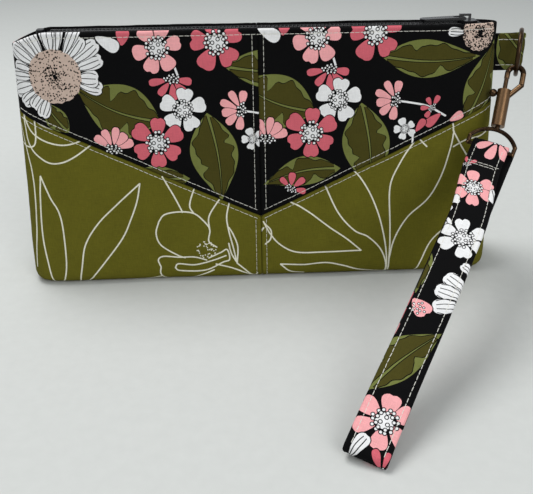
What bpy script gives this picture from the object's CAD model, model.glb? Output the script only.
"""A cotton wristlet wallet: pieced pouch, coil zipper, ring, swivel snap hook and folded wrist strap."""

import math

import bmesh
import bpy
import numpy as np
from mathutils import Matrix, Vector
from mathutils.geometry import delaunay_2d_cdt


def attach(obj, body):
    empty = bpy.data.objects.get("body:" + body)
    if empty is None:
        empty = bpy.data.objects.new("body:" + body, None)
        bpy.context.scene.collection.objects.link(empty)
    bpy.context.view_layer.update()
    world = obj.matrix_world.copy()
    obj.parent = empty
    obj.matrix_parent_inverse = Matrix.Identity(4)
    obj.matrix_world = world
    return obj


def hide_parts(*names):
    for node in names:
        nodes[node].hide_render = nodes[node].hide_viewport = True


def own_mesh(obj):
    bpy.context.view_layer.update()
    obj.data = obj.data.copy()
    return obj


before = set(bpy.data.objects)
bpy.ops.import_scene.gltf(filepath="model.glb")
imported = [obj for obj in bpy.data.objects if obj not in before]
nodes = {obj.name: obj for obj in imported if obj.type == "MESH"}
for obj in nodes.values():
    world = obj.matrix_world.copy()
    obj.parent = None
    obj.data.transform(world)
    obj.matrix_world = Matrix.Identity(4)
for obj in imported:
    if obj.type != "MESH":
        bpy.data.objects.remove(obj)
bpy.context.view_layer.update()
MM = 0.001

# Sizes of the pouch in millimetres, as in the model
BAG_H = 137.0
TOP_W = 251.0
BASE_W = 261.0
TOP_D = 15.0
BASE_D = 45.0
BASE_R = 6.0
CORNER_DROP = 6.0
CHEVRON_LOW = 37.5
CHEVRON_HIGH = 97.0
COTTON_T = 0.8
TAPE_Z = BAG_H - 2.1
ZIP_LEFT = -107.0
ZIP_RIGHT = 114.6
HOOK_DIR = (-0.248409, -0.532714, -0.809017)

# Distances of the topstitching from the seams and edges it follows
ABOVE_CHEVRON = 2.4
BELOW_CHEVRON = 2.0
FROM_SEAM = 2.9

STITCH_PITCH = 2.8
STITCH_R = 0.16
BAND_STITCH_R = 0.17
LEAF_LOBES = 3.0
TAPE_T = 0.5


def srgb(*rgb):
    return tuple(((c / 255 + 0.055) / 1.055) ** 2.4 if c > 10 else c / 255 / 12.92 for c in rgb)


BLACK = srgb(5, 5, 6)
OLIVE = srgb(97, 93, 26)
LINE = srgb(226, 224, 205)
LEAF_DARK = srgb(70, 66, 24)
LEAF_LIGHT = srgb(112, 118, 62)
PINK = srgb(240, 168, 170)
ROSE = srgb(208, 100, 112)
WHITE = srgb(232, 232, 232)
TAUPE = srgb(199, 177, 163)


def rng_for(seed):
    return np.random.default_rng(seed)


def unit_rows(d):
    """Each row of d at length one."""
    return d / np.maximum(np.linalg.norm(d, axis=1, keepdims=True), 1e-9)


def directions(line):
    """Unit direction of a line at each of its points."""
    return unit_rows(np.gradient(line, axis=0))


def left_of(d):
    """Each flat direction turned a quarter to the left."""
    return np.stack([-d[:, 1], d[:, 0]], axis=1)


def lengths_along(line):
    """Length along a flat line at each of its points."""
    return np.concatenate([[0], np.cumsum(np.hypot(*np.diff(line, axis=0).T))])


def grid_of(xs, ys):
    """All points with one of xs and one of ys."""
    gx, gy = np.meshgrid(xs, ys)
    return np.stack([gx.ravel(), gy.ravel()], axis=1)


# ---------------------------------------------------------------- shell of the pouch


def corner_in(z):
    below = BASE_R - np.minimum(z, BASE_R)
    return BASE_R - np.sqrt(np.maximum(BASE_R**2 - below**2, 0))


def half_w(z):
    return (TOP_W + (BASE_W - TOP_W) * (1 - z / BAG_H)) / 2 - corner_in(z)


def half_d(z):
    return (TOP_D + (BASE_D - TOP_D) * (1 - z / BAG_H)) / 2 - corner_in(z)


def squareness(z):
    return 12 + 24 * (1 - z / BAG_H)


def top_edge(u):
    return BAG_H - CORNER_DROP * (np.maximum(0, -u - 0.86) / 0.14) ** 1.3


BASE_ARC = BASE_R * math.pi / 2
BASE_FLAT = BASE_D / 2 - BASE_R
V_MIN = BASE_R - BASE_ARC - BASE_FLAT


def section(z):
    """Points from the middle of the front round to the side seam, and the length along them."""
    phi = np.linspace(0, math.pi / 2, 1200)
    n = squareness(z)
    e = 0.5 - 0.1 * (1 - z / BAG_H)
    u = np.sin(phi) ** (2 / n)
    y = np.cos(phi) ** (2 * e)
    y[-1] = 0
    return u, y, lengths_along(np.stack([u * half_w(z), y * half_d(z)], axis=1))


ROWS_Z = np.concatenate([np.linspace(0, BASE_R, 9)[:-1], np.linspace(BASE_R, BAG_H, 45)])
SHARES = np.linspace(0, 1, 1600)
U_TABLE, Y_TABLE, LENGTHS = [], [], []
for row_z in ROWS_Z:
    row_u, row_y, row_l = section(float(row_z))
    U_TABLE.append(np.interp(SHARES, row_l / row_l[-1], row_u))
    Y_TABLE.append(np.interp(SHARES, row_l / row_l[-1], row_y))
    LENGTHS.append(row_l[-1])
U_TABLE, Y_TABLE, LENGTHS = np.array(U_TABLE), np.array(Y_TABLE), np.array(LENGTHS)


def look_up(table, z, share):
    i = np.clip(np.searchsorted(ROWS_Z, z) - 1, 0, len(ROWS_Z) - 2)
    f = np.clip((z - ROWS_Z[i]) / (ROWS_Z[i + 1] - ROWS_Z[i]), 0, 1)
    s = np.clip(share, 0, 1) * (len(SHARES) - 1)
    j = np.minimum(s.astype(int), len(SHARES) - 2)
    g = s - j
    low = table[i, j] * (1 - g) + table[i, j + 1] * g
    high = table[i + 1, j] * (1 - g) + table[i + 1, j + 1] * g
    return low * (1 - f) + high * f


def height_and_share(v):
    """Height on the shell, and how far out from the middle of the base, for a place on the cut cloth."""
    angle = np.clip((BASE_R - v) / BASE_R, 0, math.pi / 2)
    z = np.where(v >= BASE_R, v, BASE_R * (1 - np.sin(angle)))
    k = np.clip((v - V_MIN) / BASE_FLAT, 0, 1)
    return z, k


def cloth_length(v):
    z, _ = height_and_share(np.asarray(v, float))
    return np.interp(z, ROWS_Z, LENGTHS)


def shell(x, v):
    """Where a point of the flat cloth (x along, v up, in mm) sits on the front of the pouch."""
    z, k = height_and_share(v)
    share = np.abs(x) / np.interp(z, ROWS_Z, LENGTHS)
    u = look_up(U_TABLE, z, share)
    y = look_up(Y_TABLE, z, share)
    shorter = 1 - 0.06 * (1 - k)
    return np.stack([np.sign(x) * u * half_w(z) * shorter, -k * half_d(z) * y, z], axis=1)


def shell_normal(x, v):
    h = 0.4
    side = np.where(x >= 0, 1.0, -1.0)
    limit = cloth_length(v) - 0.01
    x0 = np.clip(np.abs(x), 0, limit) * side
    x1 = np.clip(np.abs(x0) - h, 0, None) * side
    du = (shell(x0, v) - shell(x1, v)) * side[:, None]
    dv = shell(x0, np.minimum(v + h, BAG_H)) - shell(x0, v - h)
    return unit_rows(np.cross(du, dv))


def waves(x, v, size, seed):
    """Smooth uneven field of about unit height whose bumps are that size in mm."""
    count = 9
    rng = rng_for(seed)
    total = np.zeros_like(x, dtype=float)
    for _ in range(count):
        a = rng.uniform(0, math.tau)
        f = math.tau / size * rng.uniform(0.55, 1.25)
        total += np.sin(f * (x * math.cos(a) + v * math.sin(a)) + rng.uniform(0, math.tau))
    return total / math.sqrt(count)


def smooth_step(t):
    t = np.clip(t, 0, 1)
    return t * t * (3 - 2 * t)


def chevron_z(u):
    """Height of the chevron seam at share u of the pouch's half width."""
    return CHEVRON_LOW + (CHEVRON_HIGH - CHEVRON_LOW) * u


def chevron_at(x, v):
    """Height of the chevron seam above or below a place on the cloth."""
    share = np.abs(x) / cloth_length(v)
    z, _ = height_and_share(np.asarray(v, float))
    return chevron_z(look_up(U_TABLE, z, share))


CHEVRON_COS = math.cos(math.atan2(CHEVRON_HIGH - CHEVRON_LOW, TOP_W / 2))


def fullness(x, v, seed):
    """How far the cloth stands off the shell, with its stitched channels and puckers."""
    from_chevron = (v - chevron_at(x, v)) * CHEVRON_COS
    u_here = look_up(U_TABLE, height_and_share(v)[0], np.abs(x) / cloth_length(v)) * np.sign(x)
    from_top = top_edge(u_here) - v
    channels = [
        from_chevron - ABOVE_CHEVRON,
        from_chevron + BELOW_CHEVRON,
        np.abs(x) - FROM_SEAM,
        from_top - FROM_SEAM,
    ]
    out = 0.7 + 0.55 * waves(x, v, 75, seed) + 0.25 * waves(x, v, 26, seed + 1)
    out = out + 0.07 * waves(x, v, 9, seed + 2)
    out = 0.5 * (out + np.sqrt(out * out + 0.1)) + 0.8 * np.exp(-((v - 24) / 22) ** 2)
    for i, c in enumerate(channels):
        out -= 0.42 * np.exp(-((c / 0.62) ** 2))
        near = np.exp(-((c / 4.2) ** 2))
        out += 0.16 * near * waves(x, v, 5.5, seed + 3 + i)
    for d in (from_chevron, x, from_top):
        out += 0.28 * np.exp(-((np.abs(d) - 1.4) / 0.9) ** 2)
    edge = cloth_length(v) - np.abs(x)
    return np.maximum(out, -0.45) * smooth_step(edge / 20) * smooth_step((v + 3) / 12)


# ---------------------------------------------------------------- drawing of the prints


class Print:
    """Shapes painted one over another on flat cloth, in mm."""

    def __init__(self):
        self.shapes = []

    def add(self, points, colour):
        self.shapes.append((np.asarray(points, float), colour))


def spline(points, per):
    """A smooth line through points, with per steps between each two."""
    p = np.asarray(points, float)
    p = np.vstack([2 * p[0] - p[1], p, 2 * p[-1] - p[-2]])
    out = []
    for i in range(1, len(p) - 2):
        for t in np.arange(per) / per:
            a = 2 * p[i]
            b = p[i + 1] - p[i - 1]
            c = 2 * p[i - 1] - 5 * p[i] + 4 * p[i + 1] - p[i + 2]
            d = 3 * p[i] - p[i - 1] - 3 * p[i + 1] + p[i + 2]
            out.append((a + b * t + c * t * t + d * t**3) / 2)
    out.append(p[-2])
    return np.array(out)


def stroke(art, points, width, colour, per=7):
    """A line of even width with slightly pointed ends."""
    p = spline(points, per) if len(points) > 2 else np.asarray(points, float)
    d = directions(p)
    n = left_of(d)
    w = width / 2
    start = p[:1] - d[:1] * width * 0.35
    end = p[-1:] + d[-1:] * width * 0.35
    art.add(np.vstack([start, p + n * w, end, (p - n * w)[::-1]]), colour)


def disc(art, x, y, r, colour, sides, uneven=0.0, rng=None):
    a = np.linspace(0, math.tau, sides, endpoint=False)
    rr = r * (1 + (uneven * rng.uniform(-1, 1, sides) if uneven else 0))
    art.add(np.stack([x + rr * np.cos(a), y + rr * np.sin(a)], axis=1), colour)


def petal_outline(x, y, angle, start, length, width, notch):
    t = np.array([0.02, 0.12, 0.28, 0.45, 0.6, 0.73, 0.83, 0.9, 0.95, 0.985])
    h = width / 1.62 * t**0.62 * np.sqrt(1 - t**5)
    along = np.concatenate([t, [1.0 - notch], t[::-1]])
    across = np.concatenate([h, [0.0], -h[::-1]])
    px = start + length * along
    c, s = math.cos(angle), math.sin(angle)
    return np.stack([x + px * c - across * s, y + px * s + across * c], axis=1)


def petal(art, x, y, angle, start, length, width, colour, notch=0.06, lines=0):
    art.add(petal_outline(x, y, angle, start - 0.3, length + 0.75, width + 0.8, notch), BLACK)
    art.add(petal_outline(x, y, angle, start, length, width, notch), colour)
    c, s = math.cos(angle), math.sin(angle)
    for i in range(lines):
        off = width * 0.3 * (i - (lines - 1) / 2)
        pts = []
        for t, bow in ((0.08, 0.35), (0.35, 0.9), (0.62, 1.0), (0.86, 0.8)):
            px, py = start + length * t, off * bow
            pts.append((x + px * c - py * s, y + px * s + py * c))
        stroke(art, pts, 0.42, BLACK, per=3)


def seeds(art, x, y, r, count, size, rng, lean=None):
    """A dotted flower centre: black rings with white middles."""
    for i in range(count):
        rr = r * math.sqrt((i + 0.5) / count)
        a = i * 2.39996 + rng.uniform(-0.15, 0.15)
        px, py = rr * math.cos(a), rr * math.sin(a)
        if lean is not None:
            py *= 0.55
            c, s = math.cos(lean - math.pi / 2), math.sin(lean - math.pi / 2)
            px, py = px * c - py * s, px * s + py * c
        disc(art, x + px, y + py, size, BLACK, 8)
        disc(art, x + px, y + py, size * 0.55, WHITE, 6)


def flower(art, x, y, r, colour, seed, petals, turn=None):
    """A flower seen from the front, with its first petal at turn (degrees)."""
    rng = rng_for(seed)
    turn = rng.uniform(0, math.tau) if turn is None else math.radians(turn)
    for i in range(petals):
        a = turn + math.tau * i / petals + rng.uniform(-0.09, 0.09)
        size = r * rng.uniform(0.93, 1.06)
        width = r * 4.3 / petals * rng.uniform(0.84, 1.02)
        petal(art, x, y, a, r * 0.2, size - r * 0.2, width, colour, rng.uniform(0.0, 0.12))
    disc(art, x, y, r * 0.36, BLACK, 14, 0.12, rng)
    disc(art, x, y, r * 0.29, WHITE, 14, 0.12, rng)
    for ring, count in ((0.4, 14), (0.29, 9), (0.14, 3)):
        for i in range(count):
            b = math.tau * (i + 0.5 * (count % 2)) / count + rng.uniform(-0.1, 0.1)
            rr = r * ring * rng.uniform(0.94, 1.06)
            disc(art, x + rr * math.cos(b), y + rr * math.sin(b), r * 0.082, BLACK, 8)
            disc(art, x + rr * math.cos(b), y + rr * math.sin(b), r * 0.05, WHITE, 7)


def side_flower(art, x, y, r, colour, seed, facing, petals, spread):
    """A flower seen from its side, which opens towards facing (degrees)."""
    rng = rng_for(seed)
    for i in range(petals):
        a = math.radians(facing + spread * (i / (petals - 1) - 0.5)) + rng.uniform(-0.06, 0.06)
        reach = r * rng.uniform(0.85, 1.05)
        petal(art, x, y, a, r * 0.2, reach - r * 0.2, r * rng.uniform(0.36, 0.48), colour, 0.02)
    seeds(art, x, y, r * 0.38, 16, r * 0.082, rng, math.radians(facing))


def leaf(art, base, tip, left, right, bend, seed):
    """A leaf from base to tip, with its greatest half widths and the bend of its midrib, in mm."""
    rng = rng_for(seed)
    base, tip = np.array(base, float), np.array(tip, float)
    d = tip - base
    length = np.linalg.norm(d)
    d /= length
    n = np.array([-d[1], d[0]])
    t = np.linspace(0, 1, 41)
    rib = base + np.outer(t * length, d) + np.outer(bend * np.sin(math.pi * t), n)
    shape = np.sin(math.pi * t**0.85) ** 1.12
    phase = rng.uniform(0, math.tau, 2)

    def edge(sign, width, inner):
        if not inner:
            return rib + np.outer(sign * shape * width, n)
        wave = 0.78 + 0.1 * np.sin(LEAF_LOBES * math.tau * t + phase[int(sign > 0)])
        wave += 0.05 * np.sin(2.3 * LEAF_LOBES * math.tau * t + phase[int(sign < 0)])
        wave -= 0.45 * np.exp(-(((t - (0.34 if sign > 0 else 0.6)) / 0.04) ** 2))
        return rib + np.outer(sign * shape * width * np.clip(wave, 0.2, 0.97), n)

    def body(grow, colour):
        art.add(np.vstack([edge(1, left + grow, False), edge(-1, right + grow, False)[::-1]]), colour)

    body(0.45, BLACK)
    body(0.0, LEAF_LIGHT)
    gap = (0.35 + 0.75 * (1 - t))[:, None]
    for sign, width in ((1, left), (-1, right)):
        outer = edge(sign, width, True)[1:-1]
        inner = (rib + sign * gap * n)[1:-1]
        keep = sign * ((outer - inner) @ n) > 0.25
        if keep.sum() < 4:
            continue
        outer, inner = outer[keep], inner[keep]
        art.add(np.vstack([outer + sign * 0.45 * n, (inner - sign * 0.38 * n)[::-1]]), BLACK)
        art.add(np.vstack([outer, inner[::-1]]), LEAF_DARK)


def daisy(art, x, y, r, petals, seed, low, high):
    """A daisy with petals from angle low to high (degrees) and a dotted centre."""
    rng = rng_for(seed)
    for i in range(petals):
        a = math.radians(low + (high - low) * i / petals) + rng.uniform(-0.08, 0.08)
        reach = r * (1.0 + 0.12 * math.sin(a)) * rng.uniform(0.86, 1.1)
        petal(art, x, y, a, r * 0.42, reach - r * 0.42, r * rng.uniform(0.27, 0.38), WHITE, 0.05, 3)
    disc(art, x, y, r * 0.53, TAUPE, 40, 0.035, rng)
    for i in range(480):
        rr = r * 0.53 * (rng.uniform(0.0, 1.0) ** 0.42 if i % 3 else 0.45 * rng.uniform(0.0, 1.0))
        a = rng.uniform(0, math.tau)
        size = rng.uniform(0.22, 0.5)
        disc(art, x + rr * math.cos(a), y + rr * math.sin(a), size, BLACK, 5)


def floral_repeat(art, dx, dy, seed):
    """One repeat of the floral print, moved by dx and dy."""

    def at(x, y):
        return (x + dx, y + dy)

    leaf(art, at(-17.4, 118.5), at(34, 117.6), 11, 8.5, -2.5, seed + 1)
    leaf(art, at(-52, 91), at(-94.2, 108.8), 13.5, 15, 3.5, seed + 2)
    leaf(art, at(-27.4, 95), at(-21.2, 47), 11, 14.5, 2.0, seed + 3)
    leaf(art, at(-38, 60), at(-80, 52), 8, 8, -3.0, seed + 4)
    stroke(art, [at(-44.2, 122), at(-43, 119), at(-41.4, 114)], 1.1, WHITE)
    stroke(art, [at(-9.0, 95.6), at(-2, 94.6), at(8, 92.4), at(18, 87)], 1.0, WHITE)
    side_flower(art, *at(-44.7, 112.8), 11.5, ROSE, seed + 5, -90, 5, 165)
    flower(art, *at(-51.3, 128.6), 13.4, PINK, seed + 6, 6, 8)
    flower(art, *at(-21.2, 130.4), 14.2, ROSE, seed + 7, 5, 100)
    flower(art, *at(-39.8, 96.8), 12.2, WHITE, seed + 8, 5, 12)
    flower(art, *at(-54.1, 79.8), 14.0, ROSE, seed + 9, 6, 25)
    side_flower(art, *at(-77.6, 77.0), 12.0, PINK, seed + 10, 82, 5, 130)
    side_flower(art, *at(-9.2, 96.0), 11.5, PINK, seed + 11, 172, 6, 175)
    petal(art, *at(-69, 130.0), math.radians(80), 0, 8.5, 7.5, ROSE, 0.0)
    petal(art, *at(-82, 134.5), math.radians(-28), 0, 13, 7.5, WHITE, 0.0)
    side_flower(art, *at(10.5, 91.5), 7.0, ROSE, seed + 12, 150, 4, 170)
    petal(art, *at(16, 89), math.radians(-140), 1.0, 10, 5.5, ROSE, 0.0)
    petal(art, *at(20, 84), math.radians(30), 0.5, 8, 5, PINK, 0.0)
    flower(art, *at(-3.6, 80.4), 6.0, WHITE, seed + 13, 5, 40)
    petal(art, *at(2, 78.5), math.radians(55), 0.5, 8, 4.5, ROSE, 0.0)
    stroke(art, [at(1.0, 78), at(0.6, 66), at(1.6, 50)], 1.0, WHITE)
    side_flower(art, *at(-65, 49.5), 9.5, ROSE, seed + 14, 60, 4, 150)


def floral_left(art):
    floral_repeat(art, 0.0, 0.0, 100)
    leaf(art, (-100.0, 86.5), (-111.8, 103), 5.5, 5.5, 0.6, 130)
    daisy(art, -104.2, 115.2, 25.5, 17, 131, -18, 268)


def floral_right(art):
    dx, dy = 81.7, 3.3
    floral_repeat(art, dx, dy, 100)
    leaf(art, (29.5 + dx, 84 + dy), (43 + dx, 125 + dy), 9.5, 8.5, -1.5, 132)
    daisy(art, 33 + dx, 129.2 + dy, 17.0, 1, 133, 172, 190)


def draw_lines(art, dx, dy, lines):
    """Each of lines as a stroke of the line print, moved by dx and dy."""
    for points in lines:
        stroke(art, [(x + dx, y + dy) for x, y in points], 0.8, LINE)


def line_left(art, dx=0.0, dy=0.0):
    """Line drawing on the left lower piece: two long leaves and an open flower low down."""
    leaves = [
        ((-116, -6), (-110, 8), (-108.8, 28), (-109.8, 42), (-114, 52), (-117.6, 63.4)),
        ((-117.6, 63.4), (-119.2, 50), (-120.4, 30), (-119.2, 12), (-117, -1), (-112, -7)),
        ((-104.5, -6), (-101, 10), (-97.6, 24), (-90, 35.5), (-79, 46), (-65.2, 58)),
        ((-65.2, 58), (-67.5, 48), (-71.5, 38), (-77, 27), (-88, 13), (-102, -3.5)),
        ((-128, 90), (-122, 64), (-123.4, 34), (-127, 10)),
        ((-125, 97), (-119, 86), (-108, 80.5), (-97, 81), (-84, 88)),
        ((-124, 94), (-122, 80), (-114, 71.5), (-106, 70.5), (-96, 75), (-81, 86)),
        ((-122, 101), (-116, 92), (-104, 87.5), (-94, 89.5)),
        ((-118, 101.5), (-112, 93.5), (-101, 89.6)),
        ((-128, 80), (-122.6, 78.6), (-118.6, 80.6), (-117.4, 90), (-119, 99)),
    ]
    open_flower = [
        ((-56.5, 36), (-58.4, 29), (-56, 22), (-47, 15.8), (-43, 14.2)),
        (
            *((-56.5, 36), (-53, 40.2), (-45, 41.6), (-37, 40.4)),
            *((-31, 35), (-28.6, 30.4), (-29.4, 24), (-25, 20.2)),
        ),
        ((-57, 9), (-58.2, 13.4), (-55, 15.4), (-46, 14.6), (-38, 14.6), (-31, 12.6)),
        ((-57, 9), (-57.4, 5), (-55, 1.2), (-50, -1.4), (-42, -0.6), (-34, 3.4), (-27, 6.4)),
        ((-30, 13.8), (-23, 17), (-19.4, 18.6), (-18.2, 12.6), (-22, 11), (-32, 6.4), (-46, 6.4), (-49, 8.2)),
        ((-49, 8.2), (-47, 10.6), (-38, 9.8), (-28, 12.2), (-20, 15)),
        ((-14, 10), (-16, 20), (-18.2, 30), (-19, 38), (-17, 47)),
        ((-14, 10), (-13.4, 20), (-15.6, 27), (-18, 31.6)),
        ((-13.6, 9.6), (-17, 16), (-18.4, 22.4)),
        ((-14, 10), (-9, 5.4), (-4.4, 1.2), (-2.4, 3.4)),
        ((-4.6, 1), (-10, 4.2), (-18, 7.6), (-26, 10)),
        ((-28.6, 30.4), (-28.8, 38), (-24, 46), (-21, 49.6)),
        ((-37, 40.4), (-39, 45), (-36.6, 53), (-34.6, 56.4)),
        ((-43, 41.2), (-47, 50), (-53, 61.6)),
        ((-57, 3), (-66, 0), (-80, -3), (-92, -6)),
    ]
    draw_lines(art, dx, dy, leaves + open_flower)
    rng = rng_for(61)
    for _ in range(46):
        a, rr = rng.uniform(0, math.tau), 5.4 * math.sqrt(rng.uniform(0, 1))
        disc(art, -31 + dx + rr * math.cos(a), 18.8 + dy + rr * 0.95 * math.sin(a), 0.42, LINE, 6)


def line_right(art, dx=0.0, dy=0.0):
    """Line drawing on the right lower piece: stems and long leaves that rise from one point."""
    stems = [
        ((1.2, 34.4), (5, 27), (11, 20), (20, 15.6), (36, 15.4), (56.5, 15.2)),
        ((9, 46), (17, 44.8), (27, 38.8), (38, 30), (48, 22.6), (56.5, 15.2)),
        ((10.5, 8.6), (24, 8.0), (36, 8.8), (46, 6.6), (56, 3.4), (70, 0.6)),
        ((10.5, 8.6), (16, 4), (24, 2.2)),
        ((69.6, -4), (71, 6), (67.4, 15.9), (60, 23.4), (52.2, 27.4), (43, 38), (34.9, 55)),
        ((71.2, -4), (71, 12), (67.5, 30), (62.4, 44.5), (56, 56), (49.1, 64)),
        ((72.4, 2), (72.6, 16), (72.2, 30), (71.4, 52), (76, 65), (83, 76), (90.2, 84)),
        ((72.6, 10), (75, 22), (82, 34.6), (92.6, 44.8), (99.6, 58), (103.4, 72), (105, 82)),
        ((86.6, -3), (91, 8), (96, 20), (104, 28), (113, 33)),
        ((86.6, -3), (94, -1), (104, 4), (114, 14), (122, 27), (126, 42)),
        ((90.5, 74), (84, 80), (76, 84)),
        ((104.6, 82), (110, 73), (117.4, 62), (121, 56)),
        ((104.6, 82), (104, 91), (107, 97)),
        ((105, 73.4), (112, 77), (121, 79), (129, 85), (131, 96)),
        ((2, 33), (5.4, 29), (5, 24), (2, 21)),
        ((-1.4, 36), (-2.6, 31), (-1, 28), (1.4, 31)),
    ]
    draw_lines(art, dx, dy, stems)


# ---------------------------------------------------------------- meshes with a print


def inside(points, outline):
    """Which points lie within a closed outline."""
    count = np.zeros(len(points), int)
    for a, b in zip(outline, np.roll(outline, -1, axis=0)):
        if a[1] == b[1]:
            continue
        spans = (points[:, 1] < a[1]) != (points[:, 1] < b[1])
        x = a[0] + (points[:, 1] - a[1]) * (b[0] - a[0]) / (b[1] - a[1])
        count += spans & (points[:, 0] < x)
    return count % 2 == 1


def triangulate(outline, points, shapes, ground):
    """Flat triangles inside outline, each with the colour of the topmost shape on it, or of the ground."""
    coords, faces, colours = [], [], []

    def add_face(p, colour):
        q = np.roll(p, -1, axis=0)
        if (p[:, 0] * q[:, 1] - p[:, 1] * q[:, 0]).sum() < 0:
            p = p[::-1]
        start = len(coords)
        coords.extend(Vector((float(a), float(b))) for a, b in p)
        faces.append(list(range(start, start + len(p))))
        colours.append(colour)

    add_face(outline, ground)
    low, high = outline.min(0) - 1, outline.max(0) + 1
    for p, colour in shapes:
        if (p.max(0) < low).any() or (p.min(0) > high).any():
            continue
        add_face(p, colour)
    coords.extend(Vector((float(a), float(b))) for a, b in points)
    verts, _, tris, _, _, face_ids = delaunay_2d_cdt(coords, [], faces, 0, 1e-4, True)
    flat = np.array([(p.x, p.y) for p in verts])
    within = inside(flat[np.array(tris)].mean(1), outline)
    keep, shade = [], []
    for tri, ids, ok in zip(tris, face_ids, within):
        if 0 not in ids or not ok:
            continue
        a, b, c = flat[tri[0]], flat[tri[1]], flat[tri[2]]
        if abs((b[0] - a[0]) * (c[1] - a[1]) - (b[1] - a[1]) * (c[0] - a[0])) < 1e-7:
            continue
        keep.append(tri)
        shade.append(max(ids))
    used, keep = np.unique(np.array(keep), return_inverse=True)
    return flat[used], keep.reshape(-1, 3), [colours[i] for i in shade]


def distance_to(points, line):
    """Distance of each point from a flat line."""
    best = np.full(len(points), 1e9)
    for p, q in zip(line[:-1], line[1:]):
        d = q - p
        size = d @ d
        if size < 1e-12:
            continue
        t = np.clip((points - p) @ d / size, 0, 1)
        best = np.minimum(best, np.hypot(*(points - p - t[:, None] * d).T))
    return best


def resample(line, step):
    """The same line with points at even steps."""
    line = np.asarray(line, float)
    s = lengths_along(line)
    n = max(2, int(round(s[-1] / step)) + 1)
    t = np.linspace(0, s[-1], n)
    return np.stack([np.interp(t, s, line[:, 0]), np.interp(t, s, line[:, 1])], axis=1)


def rim_loop(tris):
    """The ordered border vertices of an open triangle mesh."""
    edges = {}
    for a, b, c in tris:
        edges.update({(a, b): True, (b, c): True, (c, a): True})
    following = {a: b for a, b in edges if (b, a) not in edges}
    start = next(iter(following))
    loop = [start]
    while following[loop[-1]] != start:
        loop.append(following[loop[-1]])
    return loop


def make_object(name, verts_mm, faces, material, colours=None, uv=None):
    """A smooth-shaded object from points in mm, with a colour for each face and a place on the cloth (uv)."""
    mesh = bpy.data.meshes.new(name)
    mesh.from_pydata((np.asarray(verts_mm) * MM).tolist(), [], [list(map(int, f)) for f in faces])
    mesh.polygons.foreach_set("use_smooth", [True] * len(mesh.polygons))
    if colours is not None:
        layer = mesh.color_attributes.new("print", "FLOAT_COLOR", "CORNER")
        data = []
        for polygon, colour in zip(mesh.polygons, colours):
            data.extend([*colour, 1.0] * polygon.loop_total)
        layer.data.foreach_set("color", np.array(data, np.float32))
    if uv is not None:
        layer = mesh.uv_layers.new(name="cloth")
        index = np.zeros(len(mesh.loops), np.int32)
        mesh.loops.foreach_get("vertex_index", index)
        layer.data.foreach_set("uv", (np.asarray(uv)[index] * 0.01).astype(np.float32).ravel())
    mesh.materials.append(material)
    mesh.update()
    obj = bpy.data.objects.new(name, mesh)
    bpy.context.scene.collection.objects.link(obj)
    return obj


def section_x(u, z):
    """Length along the cloth from the middle to share u of the width, at height z."""
    row_u, _, length = section(float(z))
    return float(np.interp(u, row_u, length))


def panel_outline(side, upper):
    """Border of one cut piece, on the left (-1) or right (1)."""
    us = np.concatenate([np.linspace(0, 0.9, 40), 1 - np.geomspace(0.1, 1e-5, 40), [1.0]])
    chevron = [(section_x(u, chevron_z(u)), chevron_z(u)) for u in us]
    if upper:
        top = []
        for u in us:
            z = float(top_edge(np.array(side * u)))
            top.append((section_x(u, z), z))
        vs = np.linspace(CHEVRON_HIGH, top[-1][1], 30)
        seam = [(float(cloth_length(v)), v) for v in vs]
        rim = chevron + seam[1:-1] + top[::-1]
    else:
        vs = np.concatenate([np.linspace(V_MIN, BASE_R, 14), np.linspace(BASE_R, CHEVRON_HIGH, 40)[1:]])
        seam = [(float(cloth_length(v)), v) for v in vs]
        rim = [(0.0, V_MIN)] + seam[:-1] + chevron[::-1]
    rim = np.array(rim)
    rim = resample(np.vstack([rim, rim[:1]]), 1.2)[:-1]
    rim[:, 0] = np.maximum(rim[:, 0], 0.0)
    if side < 0:
        rim = np.stack([-rim[:, 0], rim[:, 1]], axis=1)[::-1]
    return rim


def stitch_lines():
    """The rows of topstitching on one face, as lines on its cloth (x, v)."""
    lines = []
    for lift in (ABOVE_CHEVRON, -BELOW_CHEVRON):
        for side in (-1, 1):
            line = []
            for u in np.linspace(0.012, 0.985, 80):
                z = chevron_z(u)
                line.append((side * section_x(u, z), z + lift / CHEVRON_COS))
            lines.append(np.array(line))
    for x in (-FROM_SEAM, FROM_SEAM):
        lines.append(np.array([(x, V_MIN + 2), (x, CHEVRON_LOW - 1.5)]))
        lines.append(np.array([(x, CHEVRON_LOW + 4), (x, BAG_H - 1)]))
    top = []
    for u in np.linspace(-0.94, 0.975, 160):
        z = float(top_edge(np.array(u))) - FROM_SEAM
        top.append((math.copysign(section_x(abs(u), z), u), z))
    lines.append(np.array(top))
    return lines


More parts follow.
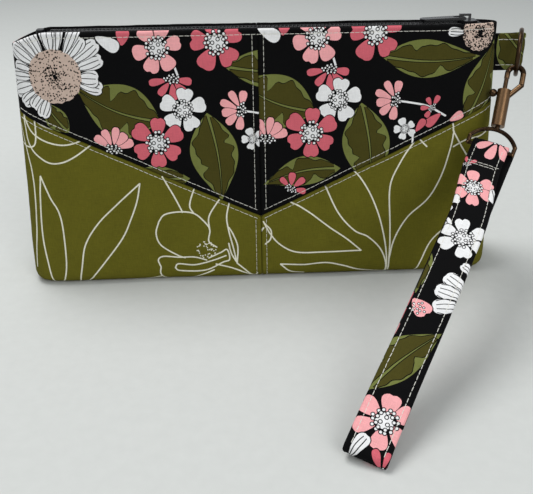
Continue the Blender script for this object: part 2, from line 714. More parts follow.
def panel_points(rim, step):
    """Points inside a cut piece: an even grid, rings near its border and close rows along the stitching."""
    low, high = rim.min(0), rim.max(0)
    xs = np.arange(low[0] + step / 2, high[0], step)
    vs = np.arange(low[1] + step / 2, high[1], step)
    gx, gv = np.meshgrid(xs, vs)
    gx[::2] += step / 2
    grid = np.stack([gx.ravel(), gv.ravel()], axis=1)
    closed = np.vstack([rim, rim[:1]])
    grid = grid[distance_to(grid, closed) > 1.2]
    inward = left_of(unit_rows(np.roll(rim, -1, axis=0) - np.roll(rim, 1, axis=0)))
    rings = []
    for d in (0.12, 0.35, 0.8):
        ring = rim + inward * d
        rings.append(ring[distance_to(ring, closed) > d * 0.9])
    channels = stitch_lines()
    for line in channels:
        line = resample(line, 0.95)
        d = directions(line)
        n = left_of(d)
        for i, off in enumerate((-1.3, -0.75, -0.35, 0.0, 0.35, 0.75, 1.3)):
            ring = line + n * off + d * (0.45 if i % 2 else 0.0)
            ring = ring[(ring > low).all(axis=1) & (ring < high).all(axis=1)]
            if len(ring):
                rings.append(ring[distance_to(ring, closed) > 0.9])
    for line in channels:
        grid = grid[distance_to(grid, resample(line, 6)) > 1.7]
    limit = cloth_length(grid[:, 1]) - 14
    corner = np.abs(grid[:, 0]) > limit
    extra = grid[corner] + [step / 2, step / 4]
    extra = extra[distance_to(extra, closed) > 1.2]
    return np.vstack([grid, extra, *rings])


def cloth_place(x, v, off, seed, back):
    """Where a point of the flat cloth sits on the finished pouch, off mm above the cloth's face."""
    p = shell(x, v) + shell_normal(x, v) * (off + fullness(x, v, seed))[:, None]
    p[:, 2] = np.maximum(p[:, 2], 0.03)
    if back:
        p[:, 1] *= -1
    return p


def panel(name, side, upper, back, draw, ground, material, seed):
    """One cut piece of the outer cloth, with its print, its rounded rim and its inner face."""
    rim = panel_outline(side, upper)
    art = Print()
    draw(art)
    shapes = art.shapes
    if back:
        shapes = [(p * [-1, 1], c) for p, c in shapes]
    flat, tris, colours = triangulate(rim, panel_points(rim, 1.9), shapes, ground)
    loop = rim_loop(tris)
    closed = np.vstack([flat[loop], flat[loop[:1]]])
    d = distance_to(flat, closed)
    d[loop] = 0
    t = np.clip(1 - d / 0.9, 0, 1)
    off = -COTTON_T * (1 - np.sqrt(np.maximum(1 - t * t, 0)))
    outer = cloth_place(flat[:, 0], flat[:, 1], off, seed, back)
    low, high = flat.min(0), flat.max(0)
    grid = grid_of(np.arange(low[0] + 3, high[0], 6.0), np.arange(low[1] + 3, high[1], 6.0))
    grid = grid[distance_to(grid, closed) > 2]
    count = len(loop)
    coords = [Vector((float(a), float(b))) for a, b in np.vstack([flat[loop], grid])]
    verts, _, inner_tris, orig, _, ids = delaunay_2d_cdt(coords, [], [list(range(count))], 0, 1e-5, True)
    inner_flat = np.array([(p.x, p.y) for p in verts])
    inner = cloth_place(inner_flat[:, 0], inner_flat[:, 1], np.full(len(inner_flat), -COTTON_T), seed, back)
    index = []
    added = []
    for i, source in enumerate(orig):
        first = min(source) if source else count
        if first < count:
            index.append(loop[first])
        else:
            index.append(len(outer) + len(added))
            added.append(inner[i])
    verts_all = np.vstack([outer, np.array(added)])
    lining = [[index[t[0]], index[t[2]], index[t[1]]] for t, i in zip(inner_tris, ids) if 0 in i]
    lining = [t for t in lining if len(set(t)) == 3]
    faces = [list(t) for t in tris] + lining
    if back:
        faces = [f[::-1] for f in faces]
    colours = colours + [ground] * len(lining)
    uv = np.vstack([flat, np.zeros((len(added), 2))])
    uv[len(flat):] = [inner_flat[i] for i, s in enumerate(orig) if not (s and min(s) < count)]
    obj = make_object(name, verts_all, faces, material, colours, uv)
    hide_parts(name.replace("_cloth", ""))
    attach(obj, "pouch")


# ---------------------------------------------------------------- thread and wire


def skin(points):
    """A closed skin over rows of points (mm); each row is a closed loop."""
    n, m, _ = points.shape
    faces = []
    for i in range(n - 1):
        for j in range(m):
            k = (j + 1) % m
            faces.append([i * m + j, i * m + k, (i + 1) * m + k, (i + 1) * m + j])
    faces.append(list(range(m))[::-1])
    faces.append(list(range((n - 1) * m, n * m)))
    return points.reshape(-1, 3), faces


def tube(path, radius, sides, up=(0.0, 0.0, 1.0)):
    """Vertices and faces of a round tube along path (mm)."""
    p = np.asarray(path, float)
    d = directions(p)
    a = np.cross(d, up)
    weak = np.linalg.norm(a, axis=1) < 1e-3
    a[weak] = np.cross(d[weak], [1.0, 0.0, 0.0])
    a = unit_rows(a)
    b = np.cross(a, d)
    t = np.linspace(0, math.tau, sides, endpoint=False)
    ring = a[:, None] * np.cos(t)[None, :, None] + b[:, None] * np.sin(t)[None, :, None]
    return skin(p[:, None] + ring * radius)


def gather(parts):
    """Several meshes as one."""
    verts, faces, start = [], [], 0
    for v, f in parts:
        verts.append(v)
        faces.extend([[i + start for i in face] for face in f])
        start += len(v)
    return np.vstack(verts), faces


def stitch_row(place, length, seed, radius=STITCH_R, first=0.4):
    """Stitches along a row. place(s, h) gives points at lengths s and heights h above the cloth."""
    rng = rng_for(seed)
    parts = []
    s = first
    while s + STITCH_PITCH * 0.85 < length:
        run = STITCH_PITCH * rng.uniform(0.86, 0.93)
        t = np.array([0.0, 0.07, 0.3, 0.7, 0.93, 1.0])
        h = np.array([-0.3, 0.04, 0.15, 0.15, 0.04, -0.3])
        side = rng.uniform(-0.08, 0.08)
        parts.append(tube(place(s + t * run, h, side * (2 * t - 1)), radius, 6))
        s += STITCH_PITCH
    return parts


def cloth_row(line, seed, back, row_seed):
    """Stitches on the pouch along a line on its cloth (x, v)."""
    line = resample(np.asarray(line, float), 0.6)
    s_line = lengths_along(line)
    d = directions(line)

    def place(s, h, side):
        x, v, dx, dv = (np.interp(s, s_line, column) for column in (*line.T, *d.T))
        return cloth_place(x - dv * side, v + dx * side, h, seed, back)

    return stitch_row(place, s_line[-1], row_seed)


def sew(name, rows, body):
    """One object from rows of stitches, which rides with the body it is sewn to."""
    verts, faces = gather(rows)
    obj = make_object(name, verts, faces, thread)
    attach(obj, body)


def stitching(name, seed, back):
    """The topstitching of the pouch's front or back."""
    rows = []
    for i, line in enumerate(stitch_lines()):
        rows += cloth_row(line, seed, back, i)
    sew(name, rows, "pouch")


# ---------------------------------------------------------------- materials


class Nodes:
    """A short way to write a node material."""

    def __init__(self, name):
        self.material = bpy.data.materials.new(name)
        self.material.use_nodes = True
        self.tree = self.material.node_tree
        self.shader = self.tree.nodes["Principled BSDF"]

    def feed(self, socket, value):
        """Link value to a socket, or set it there."""
        if isinstance(value, bpy.types.NodeSocket):
            self.tree.links.new(value, socket)
        else:
            socket.default_value = value

    def add(self, kind, inputs=None, **settings):
        node = self.tree.nodes.new(kind)
        for key, value in settings.items():
            setattr(node, key, value)
        for key, value in (inputs or {}).items():
            self.feed(node.inputs[key], value)
        return node

    def math(self, operation, a, b=0.0, clamp=False):
        return self.add("ShaderNodeMath", {0: a, 1: b}, operation=operation, use_clamp=clamp).outputs[0]

    def mix(self, factor, a, b, blend="MIX"):
        inputs = {0: factor, 6: a, 7: b}
        return self.add("ShaderNodeMix", inputs, data_type="RGBA", blend_type=blend).outputs[2]

    def ramp(self, value, low, high, to_low=0.0, to_high=1.0):
        return self.add("ShaderNodeMapRange", {0: value, 1: low, 2: high, 3: to_low, 4: to_high}).outputs[0]

    def noise(self, scale, detail, vector, rough=0.55):
        inputs = {"Scale": scale, "Detail": detail, "Roughness": rough, "Vector": vector}
        return self.add("ShaderNodeTexNoise", inputs).outputs[0]

    def set(self, **values):
        for key, value in values.items():
            self.feed(self.shader.inputs[key.replace("_", " ")], value)

    def bump(self, height, distance):
        self.set(Normal=self.add("ShaderNodeBump", {"Height": height, "Distance": distance}).outputs[0])

    def tinted(self, base, tone):
        """A base colour made lighter or darker by tone."""
        even = self.add("ShaderNodeCombineColor", {0: tone, 1: tone, 2: tone}).outputs[0]
        return self.mix(1.0, base, even, "MULTIPLY")

    def in_object(self):
        return self.add("ShaderNodeTexCoord").outputs["Object"]

    def stretched(self, vector, *scale):
        return self.add("ShaderNodeMapping", {"Vector": vector, "Scale": scale}).outputs[0]


def woven(name, colour=None, pitch=0.42, slub=0.12, rough=0.9, depth=0.00006, specular=0.12):
    """Plain-woven cloth. Without a colour it takes the printed one from the mesh."""
    m = Nodes(name)
    uv = m.add("ShaderNodeUVMap", uv_map="cloth").outputs[0]
    mapped = m.stretched(uv, 100.0, 100.0, 1.0)
    xyz = m.add("ShaderNodeSeparateXYZ", {0: mapped})
    x, y = xyz.outputs[0], xyz.outputs[1]
    k = math.pi / pitch
    sx = m.math("SINE", m.math("MULTIPLY", x, k))
    sy = m.math("SINE", m.math("MULTIPLY", y, k))
    over = m.math("MULTIPLY", sx, sy)
    ridge = m.math("MAXIMUM", m.math("ABSOLUTE", sx), m.math("ABSOLUTE", sy))
    weave = m.math("ADD", m.math("MULTIPLY", over, 0.5), m.math("MULTIPLY", ridge, 0.5))
    warp = m.noise(1.0, 2.0, m.stretched(mapped, 2.4, 0.22, 1.0))
    weft = m.noise(1.0, 2.0, m.stretched(mapped, 0.22, 2.4, 1.0))
    threads = m.math("ADD", warp, weft)
    broad = m.noise(0.07, 2.0, mapped)
    fine = m.noise(3.2, 4.0, mapped)
    uneven = m.ramp(threads, 0.6, 1.4, 1 - slub, 1 + slub)
    shade = m.math("ADD", uneven, m.ramp(fine, 0.3, 0.7, -slub / 2, slub / 2))
    shade = m.math("MULTIPLY", shade, m.ramp(broad, 0.3, 0.7, 0.95, 1.05))
    if colour is None:
        base = m.add("ShaderNodeVertexColor", layer_name="print").outputs[0]
    else:
        base = (*colour, 1.0)
    m.set(Base_Color=m.tinted(base, shade), Specular_IOR_Level=specular)
    m.set(Roughness=m.ramp(fine, 0.3, 0.7, rough - 0.06, rough + 0.06))
    m.bump(m.math("ADD", weave, m.math("MULTIPLY", threads, 0.8)), depth)
    return m.material


def plain(name, colour, rough, metallic=0.0, scale=900.0, vary=0.1, depth=0.00002, coat=0.0):
    """A moulded, spun or painted surface with fine unevenness, in object coordinates."""
    m = Nodes(name)
    where = m.in_object()
    fine = m.noise(scale, 4.0, where)
    broad = m.noise(scale / 12, 3.0, where)
    tone = m.ramp(broad, 0.3, 0.7, 1 - vary, 1 + vary)
    m.set(Base_Color=m.tinted((*colour, 1.0), tone), Metallic=metallic, Coat_Weight=coat)
    m.set(Roughness=m.ramp(fine, 0.3, 0.7, max(0.04, rough - 0.08), rough + 0.08))
    m.bump(fine, depth)
    return m.material


def antique(name):
    """Dark antique brass plating, rubbed bright where it is touched."""
    m = Nodes(name)
    where = m.in_object()
    broad = m.noise(210.0, 4.0, where)
    fine = m.noise(2600.0, 5.0, where, 0.65)
    streak = m.noise(1.0, 3.0, m.stretched(where, 900.0, 900.0, 240.0))
    worn = m.math("ADD", m.math("MULTIPLY", broad, 0.6), m.math("MULTIPLY", streak, 0.4))
    worn = m.ramp(worn, 0.42, 0.62)
    edge = m.ramp(m.add("ShaderNodeNewGeometry").outputs["Pointiness"], 0.505, 0.56)
    rubbed = m.math("MAXIMUM", m.math("MULTIPLY", worn, 0.3), edge, True)
    dark, bright = (*srgb(37, 25, 16), 1.0), (*srgb(122, 94, 67), 1.0)
    m.set(Base_Color=m.mix(rubbed, dark, bright), Metallic=0.92)
    m.set(Roughness=m.ramp(fine, 0.3, 0.7, 0.24, 0.4))
    m.bump(fine, 0.000025)
    return m.material


floral = woven("floral_cotton")
olive = woven("olive_cotton", slub=0.16, depth=0.00008)
tape_cloth = woven("zipper_tape", colour=srgb(17, 17, 18), pitch=0.6, rough=0.8, specular=0.2)
thread = plain("thread", srgb(222, 220, 210), 0.7, scale=5000.0, vary=0.06, depth=0.00003)
nylon = plain("zipper_nylon", srgb(20, 20, 22), 0.33, scale=1500.0, vary=0.15)
black_metal = plain("zipper_metal", srgb(24, 24, 26), 0.26, metallic=0.35, scale=1200.0, coat=0.35)
brass = antique("antique_brass")
steel = plain("spring_steel", srgb(178, 178, 182), 0.3, metallic=1.0)
foam = plain("interfacing", srgb(232, 230, 222), 0.9, scale=700.0, depth=0.0001)
lining_cloth = plain("lining", srgb(222, 165, 168), 0.85, scale=2200.0, depth=0.00005)


# ---------------------------------------------------------------- pouch

FRONT_SEED = 7
BACK_SEED = 40


def floral_back(art):
    floral_repeat(art, 62.0, -9.0, 300)
    floral_repeat(art, 143.7, -5.7, 300)
    floral_repeat(art, -19.7, -12.3, 300)
    leaf(art, (95, 78), (128, 102), 9, 11, 1.5, 330)


def line_back(art):
    line_left(art, 7.0, 3.0)
    line_right(art, -5.0, -3.0)


for piece, draw in (
    ("front_upper_left", floral_left),
    ("front_upper_right", floral_right),
    ("front_lower_left", line_left),
    ("front_lower_right", line_right),
    ("back_upper_left", floral_back),
    ("back_upper_right", floral_back),
    ("back_lower_left", line_back),
    ("back_lower_right", line_back),
):
    side = -1 if "left" in piece else 1
    upper, back = "upper" in piece, "back" in piece
    ground, cloth = (BLACK, floral) if upper else (OLIVE, olive)
    panel(f"{piece}_cloth", side, upper, back, draw, ground, cloth, BACK_SEED if back else FRONT_SEED)
stitching("front_topstitching", FRONT_SEED, False)
stitching("back_topstitching", BACK_SEED, True)


# ---------------------------------------------------------------- zipper


def zipper_tape(name, sign):
    """One half of the tape: flat beside the coil, sagging a little, then turned down inside the cloth."""
    fold = 6
    xs = np.linspace(-122.5, 121.5, 170)
    u = xs / half_w(np.array(TAPE_Z))
    reach = (half_d(np.array(TAPE_Z)) - 0.95) * (1 - np.abs(u) ** squareness(TAPE_Z)) ** 0.5
    reach = np.maximum(reach - 0.15, 0.7)
    wave = 0.18 * waves(xs, xs * 0, 34, 5)
    level = np.minimum(TAPE_Z - 0.05, top_edge(u) - 1.7)
    rows = []
    for x, r, w, z0 in zip(xs, reach, wave, level):
        inner = 0.3
        pts = []
        for t in np.linspace(0, 1, fold + 1):
            sag = 0.28 * math.sin(math.pi * t) * min(1, r / 6)
            pts.append((inner + (r - inner) * t, z0 - sag + w * 0.3 * t))
        pts += [(r + 0.02, z0 - 1.15), (r + 0.25, z0 - 4.45)]
        low = [(y - TAPE_T * (i >= fold), z - TAPE_T * (i <= fold)) for i, (y, z) in enumerate(pts)]
        rows.append([(x, sign * y, z) for y, z in pts + low[::-1]])
    verts, faces = skin(np.array(rows))
    if sign < 0:
        faces = [f[::-1] for f in faces]
    obj = make_object(name, verts, faces, tape_cloth, uv=verts[:, :2])
    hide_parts("zipper_tape_front" if sign < 0 else "zipper_tape_back")
    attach(obj, "pouch")


def coil(name, sign):
    """One half of the zipper's coil, with the two threads that hold it to the tape."""
    pitch = 2.0
    turns = int((ZIP_RIGHT - ZIP_LEFT) / pitch)
    t = np.linspace(0, turns, turns * 18 + 1)
    a = t * math.tau
    x = ZIP_LEFT + t * pitch + (0 if sign < 0 else pitch / 2)
    c, s = np.cos(a), np.sin(a)
    y = 1.35 + 1.62 * np.sign(c) * np.abs(c) ** 0.7
    z = TAPE_Z + 0.78 + 0.5 * np.sign(s) * np.abs(s) ** 0.8
    x = x + 0.32 * np.sin(2 * a)
    path = np.stack([x, sign * y, z], axis=1)
    parts = [tube(path, 0.29, 7)]
    xs = np.arange(ZIP_LEFT + 1, ZIP_RIGHT - 1, 0.5)
    wave = 0.05 * np.sin(xs * math.tau / pitch)
    for off in (2.15, 2.75):
        parts.append(tube(np.stack([xs, sign * off + wave, TAPE_Z + 1.47 + wave], axis=1), 0.17, 6))
    verts, faces = gather(parts)
    obj = make_object(name, verts, faces, nylon)
    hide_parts("zipper_coil_front" if sign < 0 else "zipper_coil_back")
    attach(obj, "pouch")


zipper_tape("front_tape", -1)
zipper_tape("back_tape", 1)
coil("front_coil", -1)
coil("back_coil", 1)
for node, material in (
    ("zipper_bottom_stop", nylon),
    ("zipper_top_stops", nylon),
    ("zipper_slider", black_metal),
    ("zipper_pull", black_metal),
    ("d_ring", brass),
    ("snap_hook", brass),
    ("snap_gate", brass),
    ("swivel_eye", brass),
    ("front_interfacing", foam),
    ("back_interfacing", foam),
    ("front_lining", lining_cloth),
    ("back_lining", lining_cloth),
    ("slip_pocket", lining_cloth),
):
    nodes[node].data.materials.clear()
    nodes[node].data.materials.append(material)


def wound_spring():
    """The gate's spring, wound inside the space of its CAD tube. It closes up as the gate slides back."""
    node = nodes["snap_spring"]
    points = np.array([node.matrix_world @ v.co for v in node.data.vertices]) * 1000
    axis = np.array(HOOK_DIR) / np.linalg.norm(HOOK_DIR)
    middle = points.mean(0)
    along = (points - middle) @ axis
    across = points - middle - np.outer(along, axis)
    wire = 0.3
    radius = np.linalg.norm(across, axis=1).max() - wire
    low, high = along.min() + wire, along.max() - wire
    side = np.cross(axis, [0.0, 0.0, 1.0])
    side /= np.linalg.norm(side)
    other = np.cross(axis, side)
    t = np.linspace(0, 1, 300)
    turn = 8.5 * math.tau * t
    share = np.clip((t - 0.09) / 0.82, 0, 1)
    path = middle + np.outer(low + (high - low) * share, axis)
    path += radius * (np.outer(np.cos(turn), side) + np.outer(np.sin(turn), other))
    verts, faces = tube(path, wire, 8, up=axis)
    obj = make_object("gate_spring", verts, faces, steel)
    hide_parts("snap_spring")
    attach(obj, "hook")
    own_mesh(obj)


wound_spring()


# ---------------------------------------------------------------- strap and tab


class Band:
    """A folded, stitched strip that runs along a path, in mm: s along the path and w round the strip."""

    def __init__(self, path, closed, origin, along, across, width, half_t, row, shift=None, puff=0.12):
        self.path = np.asarray(path, float)
        self.closed = closed
        self.origin, self.x_axis, self.y_axis = (np.asarray(a, float) for a in (origin, along, across))
        self.z_axis = np.cross(self.x_axis, self.y_axis)
        self.half_w, self.half_t, self.row, self.puff = width / 2, half_t, row, puff
        self.s = lengths_along(self.path)
        self.length = self.s[-1]
        d = np.gradient(self.path, axis=0)
        if closed:
            d[0] = d[-1] = (self.path[1] - self.path[-2]) / 2
        self.tangent = unit_rows(d)
        self.flat = self.half_w - self.half_t
        self.arc = self.half_t * math.pi
        self.round = 4 * self.flat + 2 * self.arc
        self.shift = shift or (lambda s: (np.zeros_like(s), np.zeros_like(s)))

    def profile(self, w, s):
        """Across and up of a place on the strip's section, with its stitched channels and puckers."""
        a = np.abs(w)
        arc = np.clip((a - self.flat) / self.half_t, 0, math.pi)
        b = np.clip(a - self.flat - self.arc, 0, None)
        y = np.where(a <= self.flat, a, self.flat + self.half_t * np.sin(arc) - b)
        z = np.where(a <= self.flat, self.half_t, self.half_t * np.cos(arc))
        face = 1 - np.minimum(np.abs(y) / self.half_w, 1) ** 4
        lift = self.puff * face + 0.06 * waves(w, s, 9, 21)
        lift -= (self.puff + 0.24) * np.exp(-(((y - self.row) / 0.55) ** 2))
        lift += 0.1 * np.exp(-(((y - self.row) / 3.0) ** 2)) * waves(w, s, 4.5, 22)
        return np.sign(w) * y, z + np.sign(z) * lift * np.minimum(1, np.abs(z) / self.half_t)

    def place(self, s, w, off=0.0):
        """Where a place on the strip sits, off mm above its surface."""
        s = np.mod(s, self.length) if self.closed else s
        cx, cz, tx, tz = (np.interp(s, self.s, column) for column in (*self.path.T, *self.tangent.T))
        size = np.hypot(tx, tz)
        tx, tz = tx / size, tz / size
        y, z = self.profile(w, s)
        z = z + np.where(z >= 0, off, -off)
        move, turn = self.shift(s)
        y_turned = y * np.cos(turn) - z * np.sin(turn)
        z_turned = y * np.sin(turn) + z * np.cos(turn)
        p = self.origin + np.outer(cx - tz * z_turned, self.x_axis)
        p = p + np.outer(y_turned + move, self.y_axis) + np.outer(cz + tx * z_turned, self.z_axis)
        p[:, 2] = np.maximum(p[:, 2], 0.05)
        return p

    def mesh(self, name, art, ground, material, fine, step=1.5):
        """The strip as one object, with rows at every step and closer ones in the fine lengths."""
        half = self.round / 2
        inset = 1e-3
        s_list = [0.0]
        while s_list[-1] < self.length:
            s = s_list[-1]
            s_list.append(s + (0.45 if any(a <= s <= b for a, b in fine) else step))
        s_rows = np.array(s_list[:-1])
        s_rows = s_rows * (self.length / max(self.length, s_rows[-1] + 0.2))
        flats = np.linspace(-self.flat, self.flat, 15)
        arcs = self.flat + np.linspace(0, self.arc, 6)[1:-1]
        unders = np.linspace(self.flat + self.arc, half, 8)
        w_cols = np.concatenate([-unders[::-1][:-1], -arcs[::-1], flats, arcs, unders])
        w_cols = np.unique(np.round(np.concatenate([w_cols, [half]]), 4))
        w_cols = w_cols[(w_cols > -half + inset) & (w_cols < half - inset)]
        rows_in = s_rows[(s_rows > 0.2) & (s_rows < self.length - 0.2)]
        rows_all = np.concatenate([[0], rows_in, [self.length]])
        border = [(s, -half) for s in rows_all]
        border += [(self.length, w) for w in w_cols]
        border += [(s, half) for s in rows_all[::-1]]
        border += [(0.0, w) for w in w_cols[::-1]]
        rim = np.array(border)
        flat, tris, colours = triangulate(rim, grid_of(rows_in, w_cols), art.shapes, ground)
        verts = self.place(flat[:, 0], flat[:, 1])
        obj = make_object(name, verts, [list(t) for t in tris], material, colours, flat)
        bm = bmesh.new()
        bm.from_mesh(obj.data)
        bmesh.ops.remove_doubles(bm, verts=[v for v in bm.verts if v.is_boundary], dist=2e-5)
        rims = [e for e in bm.edges if e.is_boundary]
        if rims:
            bmesh.ops.holes_fill(bm, edges=rims, sides=0)
        bm.to_mesh(obj.data)
        bm.free()
        return obj

    def row_of_stitches(self, s0, s1, y, seed):
        """Stitches along the strip, from s0 to s1 and y from its middle."""

        def place(s, h, side):
            return self.place(s0 + s, np.full_like(s, y) + side, h)

        return stitch_row(place, s1 - s0, seed, BAND_STITCH_R)


def unit(v):
    v = np.asarray(v, float)
    return v / np.linalg.norm(v)


STRAP_W = 19.0
STRAP_T = 2.2
EYE_BAR = np.array([120.103, -29.399, 77.3075])
BAR_AXIS = unit([0.873305, -0.450097, -0.186413])
PITCH, HEADING = math.radians(23.5058), math.radians(-122)
STRAP_DIR = np.array(
    [math.cos(PITCH) * math.cos(HEADING), math.cos(PITCH) * math.sin(HEADING), -math.sin(PITCH)]
)
STRAP_RUN = 182.0
PINCH = 12.0


def half_gap(t):
    """Half the gap between the strap's two layers, at share t of their length."""
    return 0.8 * np.sqrt(np.minimum(1, t / 0.12)) + 0.7 * np.sin(math.pi * t)


def strap_path():
    """The middle of the strip: up the back layer, round the bar, down the front and round the far fold."""
    h = STRAP_T / 2
    r = 1.22 + h
    t = np.linspace(0, 1, 120)
    rail = np.stack([PINCH + 1 + (STRAP_RUN - PINCH - 1) * t, half_gap(t) + h + 0.02], axis=1)
    a = np.linspace(-math.pi / 2 - 0.1, math.pi / 2 + 0.1, 26)[1:-1]
    fold = np.stack([STRAP_RUN + 1.9 * np.cos(-a), 1.9 * np.sin(-a)], axis=1)
    back = rail[::-1] * [1, -1]
    b = np.linspace(-math.pi / 2, -3 * math.pi / 2, 30)
    bar = np.stack([r * np.cos(b), r * np.sin(b)], axis=1)
    neck_x = np.linspace(1.5, PINCH, 8)[:-1]
    neck_z = h + 0.02 + (r - h) * (1 - smooth_step(neck_x / PINCH))
    neck = np.stack([neck_x, neck_z], axis=1)
    loop = np.vstack([back[12:], neck[::-1] * [1, -1], bar, neck, rail, fold, back[:13]])
    return resample(loop, 0.8)


strap_line = strap_path()
strap_s = lengths_along(strap_line)
top_start = strap_s[np.argmin(np.abs(strap_line[:, 0]) + (strap_line[:, 1] < 0) * 100)]
fold_s = strap_s[np.argmax(strap_line[:, 0])]


def strap_shift(s):
    """Sideways move and turn of the strip: the front layer slides over the back one and both twist."""
    front = s - top_start
    back = 2 * fold_s - top_start - s
    x = np.where(s <= fold_s, np.clip(front, 0, None), back)
    x = np.where(s < top_start - 5, np.clip(2 * top_start - s, 0, None), x)
    on_front = smooth_step((fold_s - s) / 14 + 0.5)
    move_front = 4.4 * smooth_step((x - 10) / 48) - 0.9 * smooth_step((x - 90) / 80)
    move_back = 1.9 * smooth_step((x - 10) / 48) + 1.6 * smooth_step((x - 110) / 75)
    move = move_back + (move_front - move_back) * on_front
    turn = 0.07 * np.sin(math.pi * np.clip(x / 170, 0, 1)) * np.where(s <= fold_s, 1.0, 0.6)
    return move, turn


STRAP_ROW = 6.9
strap = Band(strap_line, True, EYE_BAR, STRAP_DIR, BAR_AXIS, STRAP_W, STRAP_T / 2, STRAP_ROW, strap_shift)


def strap_print():
    art = Print()

    def at(s, w):
        return (top_start + s, w)

    side_flower(art, *at(-3.5, 3.0), 13, PINK, 401, 10, 4, 125)
    side_flower(art, *at(18, -7.5), 6, ROSE, 402, 200, 3, 120)
    flower(art, *at(32.5, -1.5), 11.2, PINK, 403, 6, 10)
    petal(art, *at(30, 7.5), math.radians(20), 0, 9, 6, WHITE, 0.05, 1)
    flower(art, *at(44, -14.5), 8.5, WHITE, 404, 5, 30)
    petal(art, *at(53, -14), math.radians(35), 0, 11, 7, WHITE, 0.05, 2)
    flower(art, *at(65.7, 1.2), 12.5, WHITE, 405, 6, 15)
    petal(art, *at(83, -9), math.radians(-60), 0, 7, 4, ROSE)
    petal(art, *at(91, -9.5), math.radians(-30), 0, 8, 4.5, ROSE)
    petal(art, *at(84.5, 13.5), math.radians(-115), 0, 9, 5.5, WHITE, 0.05, 2)
    for turn in (-113, -91, -66):
        petal(art, *at(98.5, 22), math.radians(turn), 9, 14.5, 8.8, WHITE, 0.02, 4)
    disc(art, *at(101, 22), 8, TAUPE, 26, 0.04, rng_for(9))
    petal(art, *at(107, -8.5), math.radians(55), 0, 10.5, 9.5, PINK, 0.08)
    seeds(art, *at(111, -5), 3.6, 12, 0.75, rng_for(77))
    petal(art, *at(121, -9.5), math.radians(-20), 0, 9, 5, PINK)
    leaf(art, at(157, -9.5), at(119.5, 9), 11.5, 8, 1.5, 406)
    leaf(art, at(70, -20), at(104, -8.5), 6.5, 5, 1.0, 407)
    flower(art, *at(167.4, 1.8), 13.0, PINK, 408, 6, 5)
    petal(art, *at(186, -6), math.radians(160), 0, 11, 6.5, WHITE, 0.02, 2)
    side_flower(art, *at(186, 8), 8, ROSE, 409, 200, 4, 150)
    back = [(210, -2, 11, PINK), (236, 5, 9, WHITE), (262, -4, 11, ROSE)]
    back += [(318, 3, 10, PINK), (344, -4, 10, WHITE)]
    for i, (s, w, r, colour) in enumerate(back):
        flower(art, *at(s - strap.length, w), r, colour, 420 + i, 5 + i % 2)
    leaf(art, at(276 - strap.length, 8), at(306 - strap.length, -6), 9, 8, 1.5, 430)
    for i, s in enumerate((20, 52, 88, 128, 168, 214, 258, 300, 340)):
        leaf(art, at(s, 22 * (-1) ** i), at(s + 24, 15 * (-1) ** i), 6, 5, 1.0, 440 + i)
    return art


strap_band = strap.mesh(
    "wrist_strap_band",
    strap_print(),
    BLACK,
    floral,
    fine=((top_start - 10, top_start + 9), (fold_s - 7, fold_s + 7)),
)
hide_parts("wrist_strap")
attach(strap_band, "strap")
strap_rows = []
for i, y in enumerate((-STRAP_ROW, STRAP_ROW)):
    strap_rows += strap.row_of_stitches(top_start + 2, fold_s - 1, y, 500 + i)
    strap_rows += strap.row_of_stitches(fold_s + 1, strap.length - 1, y, 510 + i)
    strap_rows += strap.row_of_stitches(0.5, top_start - 8, y, 520 + i)


def cross_row(depth_s, seed, first=0.4):
    """Stitches across the strap below the eye, where both layers are sewn together."""

    def place(s, h, side):
        return strap.place(np.full_like(s, depth_s) + side, s - 8.6, h)

    return stitch_row(place, 17.4, seed, first=first)


strap_rows += cross_row(top_start + 14.5, 520)
strap_rows += cross_row(top_start + 16.2, 521, 1.2)
sew("wrist_strap_stitching", strap_rows, "strap")

TAB_W = 19.4
TAB_TOP = 130.4
BAR_X = 139.495
TAB_LAYER = 1.3
TAB_ROW = 6.7
TAB_SEWN = 12.5


def tab_path():
    """The middle of the tab's cloth: out along its front, round the ring's bar and back."""
    r = 1.26 + TAB_LAYER / 2
    h = TAB_LAYER / 2 + 0.03
    xs = np.linspace(126.2, BAR_X - 0.6, 16)
    near = smooth_step((xs - (BAR_X - 5.5)) / 5)
    z = h + 0.1 * smooth_step((xs - 126) / 9) + (r - h - 0.1) * near
    front = np.stack([xs, z], axis=1)
    a = np.linspace(math.pi / 2, -math.pi / 2, 20)[1:-1]
    fold = np.stack([BAR_X + r * np.cos(a), r * np.sin(a)], axis=1)
    return resample(np.vstack([front, fold, front[::-1] * [1, -1]]), 0.5)


tab_middle = (0, 0, TAB_TOP - TAB_W / 2)
tab = Band(tab_path(), False, tab_middle, (1, 0, 0), (0, 0, 1), TAB_W, TAB_LAYER / 2, TAB_ROW, puff=0.05)


def tab_print():
    art = Print()
    leaf(art, (1.5, 13), (26, -16), 13, 12, 1.0, 600)
    leaf(art, (30, 12), (19, -9), 6, 7, 0.5, 601)
    return art


tab_band = tab.mesh("side_tab_band", tab_print(), BLACK, floral, step=0.8, fine=((11, 22),))
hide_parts("side_tab")
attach(tab_band, "pouch")
tab_rows = []
for i, y in enumerate((-TAB_ROW, TAB_ROW)):
    tab_rows += tab.row_of_stitches(0.6, TAB_SEWN, y, 610 + i)
    tab_rows += tab.row_of_stitches(tab.length - TAB_SEWN, tab.length - 0.6, y, 620 + i)
sew("side_tab_stitching", tab_rows, "pouch")


# ---------------------------------------------------------------- camera, floor and lights

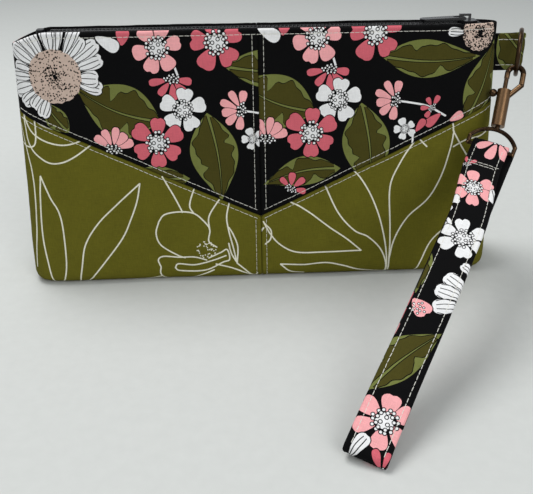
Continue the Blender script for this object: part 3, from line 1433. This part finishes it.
camera_data = bpy.data.cameras.new("camera")
camera_data.lens = 51.0
camera_data.sensor_width = 36.0
camera_data.clip_start = 0.01
camera = bpy.data.objects.new("camera", camera_data)
bpy.context.scene.collection.objects.link(camera)
azimuth, elevation, roll = math.radians(-2.57), math.radians(27.4), math.radians(-0.65)
back_dir = Vector(
    (math.sin(azimuth) * math.cos(elevation), -math.cos(azimuth) * math.cos(elevation), math.sin(elevation))
)
right = Vector((math.cos(azimuth), math.sin(azimuth), 0))
up = back_dir.cross(right)
right_r = math.cos(roll) * right + math.sin(roll) * up
up_r = -math.sin(roll) * right + math.cos(roll) * up
place = Vector((0.0037, 0, 0.0081)) + back_dir * 0.449
rows = [(*axis, 0) for axis in (right_r, up_r, back_dir)]
camera.matrix_world = Matrix([*rows, (*place, 1)]).transposed()
bpy.context.scene.camera = camera


def floor_material():
    m = Nodes("floor")
    where = m.in_object()
    fine = m.noise(160.0, 4.0, where)
    m.set(Base_Color=m.mix(fine, (*srgb(200, 202, 199), 1.0), (*srgb(208, 210, 207), 1.0)))
    m.set(Roughness=0.95, Specular_IOR_Level=0.1)
    return m.material


floor_mesh = bpy.data.meshes.new("floor")
floor_mesh.from_pydata([(-4, -4, 0), (4, -4, 0), (4, 4, 0), (-4, 4, 0)], [], [(0, 1, 2, 3)])
floor_mesh.materials.append(floor_material())
floor = bpy.data.objects.new("floor", floor_mesh)
bpy.context.scene.collection.objects.link(floor)


def area_light(name, spot, aim, size, power):
    data = bpy.data.lights.new(name, "AREA")
    data.shape = "DISK"
    data.size = size
    data.energy = power
    obj = bpy.data.objects.new(name, data)
    obj.location = spot
    obj.rotation_euler = (Vector(aim) - Vector(spot)).to_track_quat("-Z", "Y").to_euler()
    bpy.context.scene.collection.objects.link(obj)


area_light("key", (-0.35, 0.25, 1.1), (0, 0, 0.04), 0.7, 9.0)
area_light("fill", (0.5, -1.1, 0.75), (0, 0, 0.05), 0.9, 7.0)
world = bpy.data.worlds.new("world")
world.use_nodes = True
world.node_tree.nodes["Background"].inputs[0].default_value = (0.93, 0.97, 1.0, 1.0)
world.node_tree.nodes["Background"].inputs[1].default_value = 0.45
bpy.context.scene.world = world
bpy.context.scene.view_settings.view_transform = "Standard"
